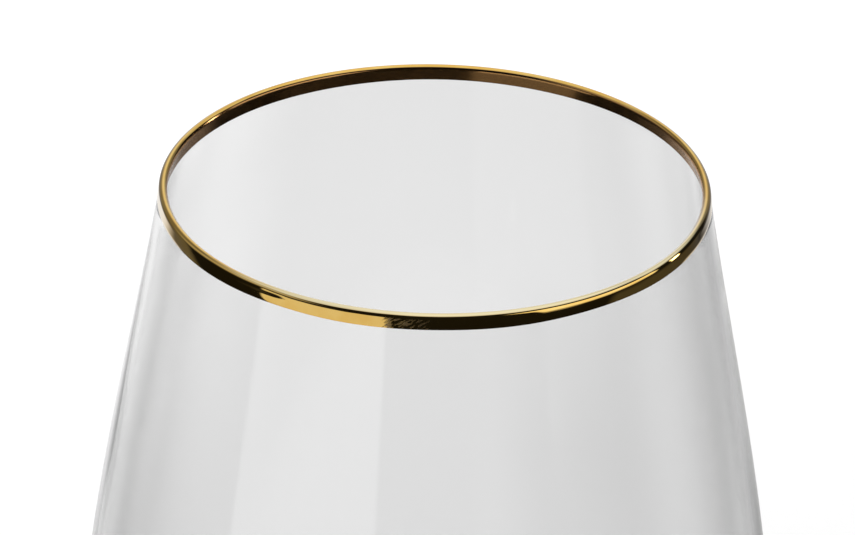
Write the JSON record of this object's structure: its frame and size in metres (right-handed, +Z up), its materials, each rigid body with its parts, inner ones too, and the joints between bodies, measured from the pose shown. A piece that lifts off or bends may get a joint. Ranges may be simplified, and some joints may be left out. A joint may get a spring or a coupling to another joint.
{
  "type": "stemless wine glass",
  "caption": "Clear stemless wine glass with a rounded bowl that narrows to a gold-banded lip and stands on a flat foot ring.",
  "frame": {"origin": "centre of the foot ring, on the plane of the table", "axes": "+Z up along the bowl's axis, out of the mouth; +X and +Y across the bowl, which is the same all the way round"},
  "size_m": [0.09, 0.09, 0.1181],
  "materials": {
    "glass": "clear blown glass, fire polished",
    "gold": "bright fired gold, hand banded"
  },
  "bodies": {
    "root": {"glass_bowl": "glass", "gold_rim_band": "gold"}
  },
  "joints": []
}
